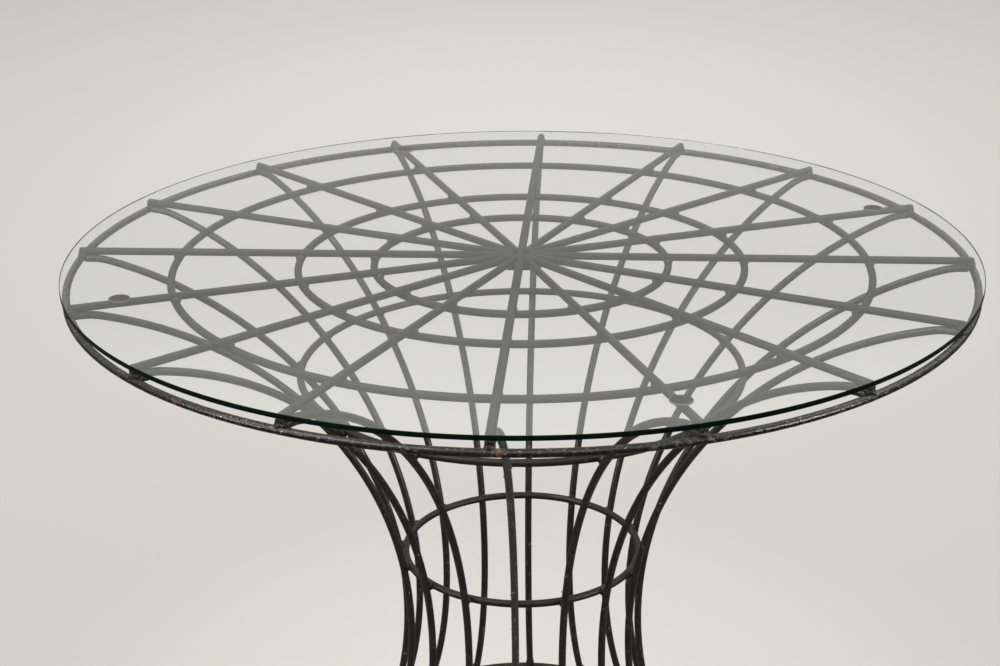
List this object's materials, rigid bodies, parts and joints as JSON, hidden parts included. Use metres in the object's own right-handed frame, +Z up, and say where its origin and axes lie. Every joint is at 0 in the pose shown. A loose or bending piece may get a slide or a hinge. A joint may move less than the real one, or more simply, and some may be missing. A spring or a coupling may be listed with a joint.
{
  "type": "garden table",
  "caption": "Round garden table: black iron rods laid like spokes on flat rings, a waisted cage of bowed rod legs on a ground ring, and a loose round glass top on clear pads.",
  "frame": {"origin": "on the ground under the centre of the table", "axes": "+Z up, -Y towards the side that the picture was taken from, +X to that viewer's right"},
  "size_m": [1.1498, 1.15, 0.7382],
  "materials": {
    "painted_iron": "worn black paint with rust",
    "weld_bead": "lumpy painted bead",
    "clear_pad": "soft clear bumper",
    "clear_glass": "polished"
  },
  "bodies": {
    "frame": {"outer_ring": "painted_iron", "second_ring": "painted_iron", "third_ring": "painted_iron", "inner_ring": "painted_iron", "collar_ring": "painted_iron", "waist_ring": "painted_iron", "base_ring": "painted_iron", "through_spoke": "painted_iron", "spoke_01": "painted_iron", "spoke_02": "painted_iron", "spoke_03": "painted_iron", "spoke_04": "painted_iron", "spoke_05": "painted_iron", "spoke_06": "painted_iron", "spoke_07": "painted_iron", "spoke_09": "painted_iron", "spoke_10": "painted_iron", "spoke_11": "painted_iron", "spoke_12": "painted_iron", "spoke_13": "painted_iron", "spoke_14": "painted_iron", "spoke_15": "painted_iron", "hub_plate": "painted_iron", "leg_00": "painted_iron", "leg_01": "painted_iron", "leg_02": "painted_iron", "leg_03": "painted_iron", "leg_04": "painted_iron", "leg_05": "painted_iron", "leg_06": "painted_iron", "leg_07": "painted_iron", "leg_08": "painted_iron", "leg_09": "painted_iron", "leg_10": "painted_iron", "leg_11": "painted_iron", "leg_12": "painted_iron", "leg_13": "painted_iron", "leg_14": "painted_iron", "leg_15": "painted_iron", "rim_welds": "weld_bead", "second_welds": "weld_bead", "third_welds": "weld_bead", "inner_welds": "weld_bead", "collar_welds": "weld_bead", "waist_welds": "weld_bead", "base_welds": "weld_bead", "hub_welds": "weld_bead", "pad_1": "clear_pad", "pad_2": "clear_pad", "pad_3": "clear_pad", "pad_4": "clear_pad"},
    "glass": {"glass_top": "clear_glass"}
  },
  "joints": [
    {"name": "glass_lift", "type": "slide", "parent": "frame", "child": "glass", "axis": [0, 0, 1], "range_m": [0, 0.15]}
  ]
}
